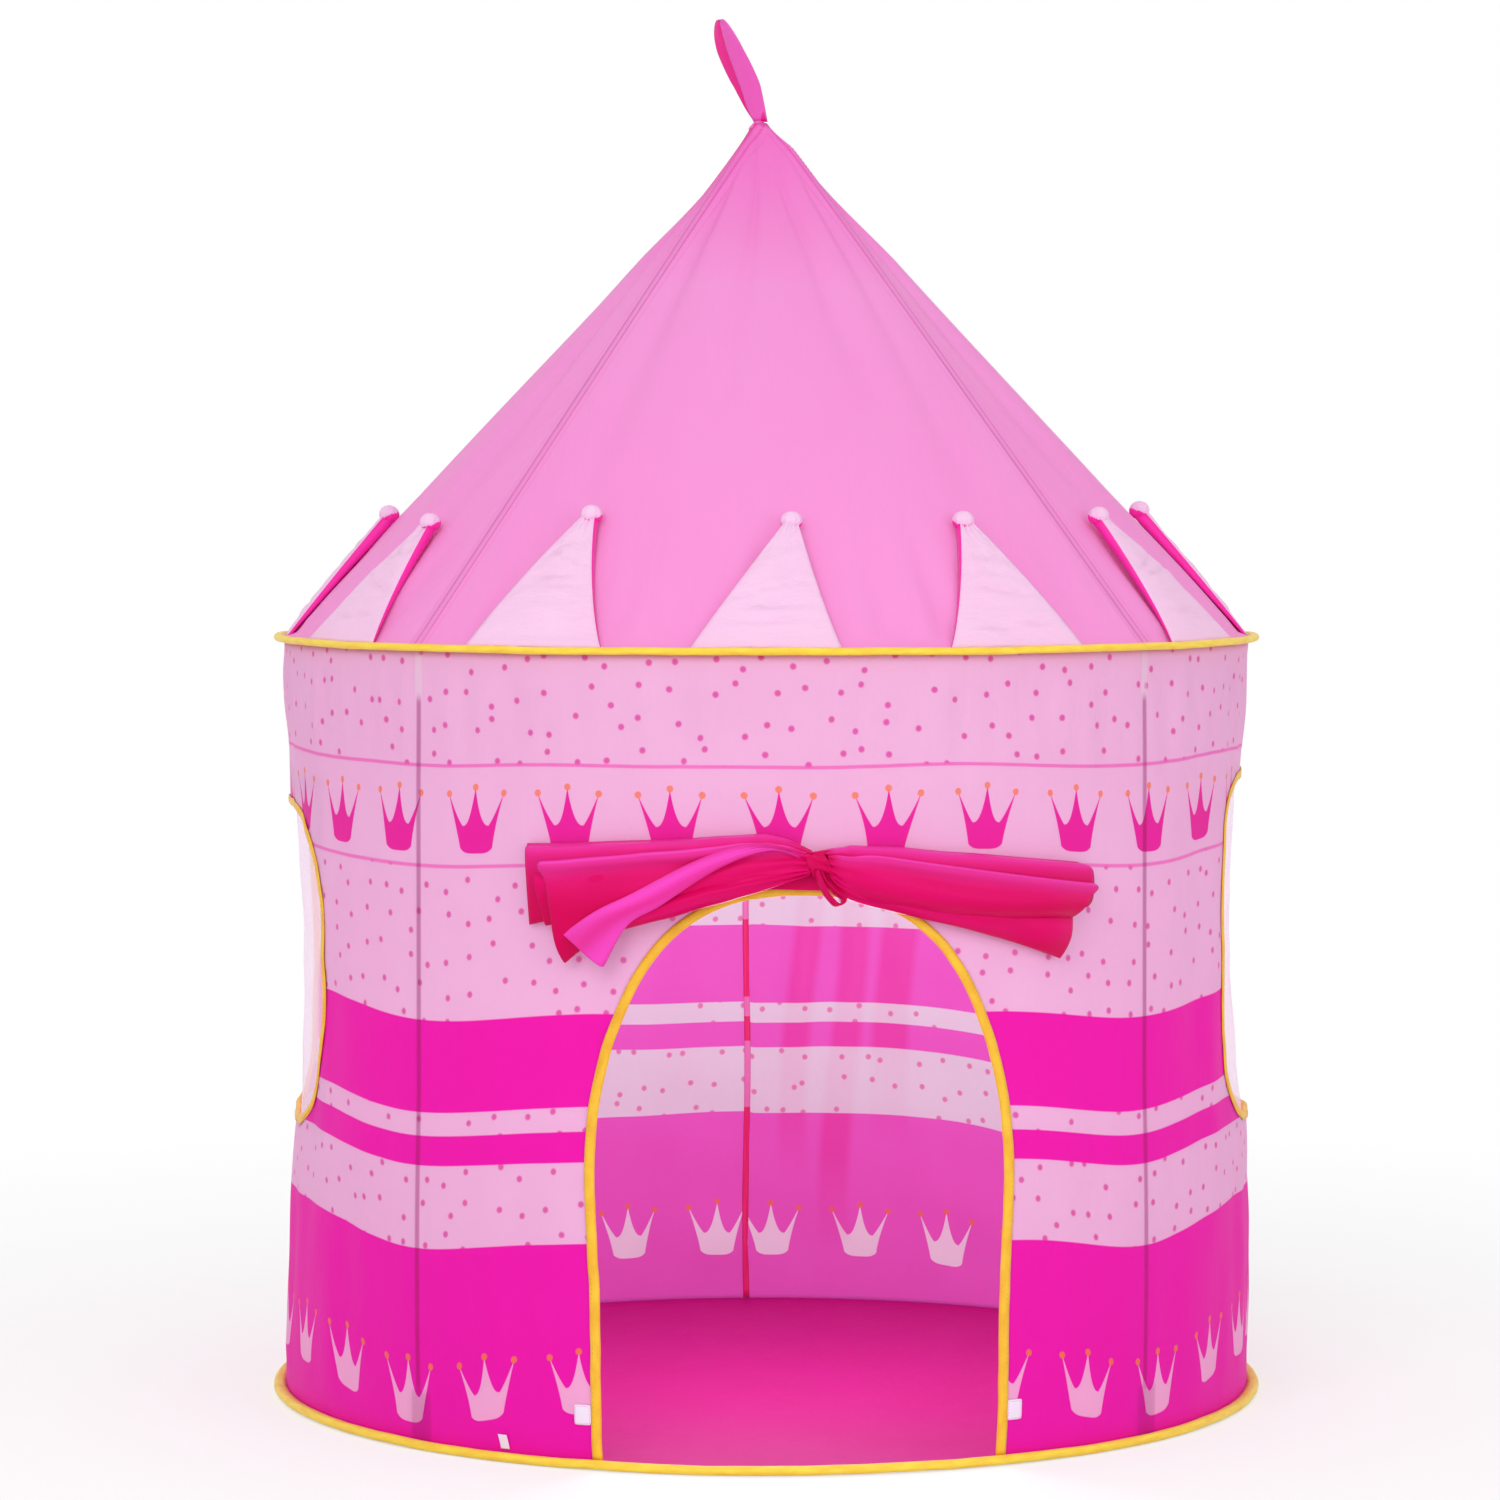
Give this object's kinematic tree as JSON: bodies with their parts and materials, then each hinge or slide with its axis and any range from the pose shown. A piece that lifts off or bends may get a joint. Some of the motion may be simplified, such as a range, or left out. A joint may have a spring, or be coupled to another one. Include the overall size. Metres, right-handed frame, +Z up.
{
  "type": "kids play tent",
  "caption": "Round pop-up cloth play tent with hooped ends, arched door with rolled curtain, netted side windows and a cone roof on rods.",
  "frame": {"origin": "on the tent's vertical axis at the ground, in the underside of the floor cloth", "axes": "+Z up along the tent's axis, -Y out through the door, +X to the right of someone facing the door"},
  "size_m": [1.05, 1.068, 1.4532],
  "materials": {
    "wall_print": "printed polyester, matte with a faint sheen",
    "floor_cloth": "coated polyester, slightly glossy",
    "roof_cloth": "thin polyester satin",
    "point_cloth": "thin polyester satin over padding",
    "binding_tape": "woven bias tape with stitching",
    "pocket_cloth": "doubled polyester",
    "net": "fine white mesh",
    "small_white": "hook-and-loop and blank label",
    "curtain_satin": "shiny satin",
    "ribbon": "satin ribbon",
    "spring_wire": "bright spring wire",
    "rod": "grey fibreglass",
    "elbow": "white moulded plastic"
  },
  "bodies": {
    "base": {"floor_cloth": "floor_cloth", "base_hoop": "spring_wire", "base_binding": "binding_tape", "blank_tag": "small_white", "wall_cloth": "wall_print", "wall_rear_seam": "floor_cloth", "door_binding": "binding_tape", "left_window_binding": "binding_tape", "right_window_binding": "binding_tape", "left_window_net": "net", "right_window_net": "net", "rod_pocket_1": "pocket_cloth", "rod_pocket_2": "pocket_cloth", "rod_pocket_3": "pocket_cloth", "rod_pocket_4": "pocket_cloth", "left_door_patch": "small_white", "right_door_patch": "small_white"},
    "eave": {"eave_hoop": "spring_wire", "eave_binding": "binding_tape", "eave_elbow_1": "elbow", "eave_elbow_2": "elbow", "eave_elbow_3": "elbow", "eave_elbow_4": "elbow", "roof_panel_1": "roof_cloth", "roof_panel_2": "roof_cloth", "roof_panel_3": "roof_cloth", "roof_panel_4": "roof_cloth", "crown_point_1": "point_cloth", "crown_point_2": "point_cloth", "crown_point_3": "point_cloth", "crown_point_4": "point_cloth", "crown_point_5": "point_cloth", "crown_point_6": "point_cloth", "crown_point_7": "point_cloth", "crown_point_8": "point_cloth", "crown_point_9": "point_cloth", "crown_point_10": "point_cloth", "crown_point_11": "point_cloth", "crown_point_12": "point_cloth"},
    "apex": {"apex_cap": "ribbon", "top_loop": "ribbon"},
    "door_header": {"curtain_header": "curtain_satin", "door_curtain": "curtain_satin"},
    "curtain_roll": {"curtain_roll_left": "curtain_satin", "curtain_roll_right": "curtain_satin", "curtain_tie": "curtain_satin"},
    "wall_rod_1": {"wall_rod_1": "rod"},
    "roof_rod_1": {"roof_rod_1": "rod"},
    "wall_rod_2": {"wall_rod_2": "rod"},
    "roof_rod_2": {"roof_rod_2": "rod"},
    "wall_rod_3": {"wall_rod_3": "rod"},
    "roof_rod_3": {"roof_rod_3": "rod"},
    "wall_rod_4": {"wall_rod_4": "rod"},
    "roof_rod_4": {"roof_rod_4": "rod"}
  },
  "joints": [
    {"name": "frame_collapse", "type": "slide", "parent": "base", "child": "eave", "axis": [0, 0, -1], "range_m": [0, 0.66], "deforming": ["wall_cloth", "wall_rear_seam", "door_binding", "left_window_binding", "right_window_binding", "left_window_net", "right_window_net", "rod_pocket_1", "rod_pocket_2", "rod_pocket_3", "rod_pocket_4", "left_door_patch", "right_door_patch"]},
    {"name": "apex_drop", "type": "slide", "parent": "eave", "child": "apex", "axis": [0, 0, -1], "range_m": [0, 0.46], "deforming": ["roof_panel_1", "roof_panel_2", "roof_panel_3", "roof_panel_4", "crown_point_1", "crown_point_2", "crown_point_3", "crown_point_4", "crown_point_5", "crown_point_6", "crown_point_7", "crown_point_8", "crown_point_9", "crown_point_10", "crown_point_11", "crown_point_12"]},
    {"name": "door_header_drop", "type": "slide", "parent": "base", "child": "door_header", "axis": [0, 0, -1], "range_m": [0, 0.4918]},
    {"name": "wall_rod_lean_1", "type": "hinge", "parent": "base", "child": "wall_rod_1", "pos_m": [0.35602, -0.35602, 0.0055], "axis": [-0.891, -0.454, 0], "range_deg": [0, 88.5]},
    {"name": "wall_rod_lean_2", "type": "hinge", "parent": "base", "child": "wall_rod_2", "pos_m": [0.35602, 0.35602, 0.0055], "axis": [0.454, -0.891, 0], "range_deg": [0, 88.5]},
    {"name": "wall_rod_lean_3", "type": "hinge", "parent": "base", "child": "wall_rod_3", "pos_m": [-0.35602, 0.35602, 0.0055], "axis": [0.891, 0.454, 0], "range_deg": [0, 88.5]},
    {"name": "wall_rod_lean_4", "type": "hinge", "parent": "base", "child": "wall_rod_4", "pos_m": [-0.35602, -0.35602, 0.0055], "axis": [-0.454, 0.891, 0], "range_deg": [0, 88.5]},
    {"name": "roof_rod_fold_1", "type": "hinge", "parent": "eave", "child": "roof_rod_1", "pos_m": [0.34823, -0.34823, 0.81378], "axis": [-0.85, -0.461, -0.2549], "range_deg": [0, 47.26]},
    {"name": "roof_rod_fold_2", "type": "hinge", "parent": "eave", "child": "roof_rod_2", "pos_m": [0.34823, 0.34823, 0.81378], "axis": [0.461, -0.85, -0.2549], "range_deg": [0, 47.26]},
    {"name": "roof_rod_fold_3", "type": "hinge", "parent": "eave", "child": "roof_rod_3", "pos_m": [-0.34823, 0.34823, 0.81378], "axis": [0.85, 0.461, -0.2549], "range_deg": [0, 47.26]},
    {"name": "roof_rod_fold_4", "type": "hinge", "parent": "eave", "child": "roof_rod_4", "pos_m": [-0.34823, -0.34823, 0.81378], "axis": [-0.461, 0.85, -0.2549], "range_deg": [0, 47.26]},
    {"name": "curtain_unroll", "type": "slide", "parent": "door_header", "child": "curtain_roll", "axis": [0, 0, -1], "range_m": [0, 0.46], "deforming": ["door_curtain"]}
  ],
  "couplings": [
    {"joint": "apex_drop", "follows": "frame_collapse", "ratio": 0.69697},
    {"joint": "door_header_drop", "follows": "frame_collapse", "ratio": 0.745},
    {"joint": "wall_rod_lean_1", "follows": "frame_collapse", "rad_per_m": 2.3403},
    {"joint": "wall_rod_lean_2", "follows": "frame_collapse", "rad_per_m": 2.3403},
    {"joint": "wall_rod_lean_3", "follows": "frame_collapse", "rad_per_m": 2.3403},
    {"joint": "wall_rod_lean_4", "follows": "frame_collapse", "rad_per_m": 2.3403},
    {"joint": "roof_rod_fold_1", "follows": "frame_collapse", "rad_per_m": 1.2498},
    {"joint": "roof_rod_fold_2", "follows": "frame_collapse", "rad_per_m": 1.2498},
    {"joint": "roof_rod_fold_3", "follows": "frame_collapse", "rad_per_m": 1.2498},
    {"joint": "roof_rod_fold_4", "follows": "frame_collapse", "rad_per_m": 1.2498}
  ]
}
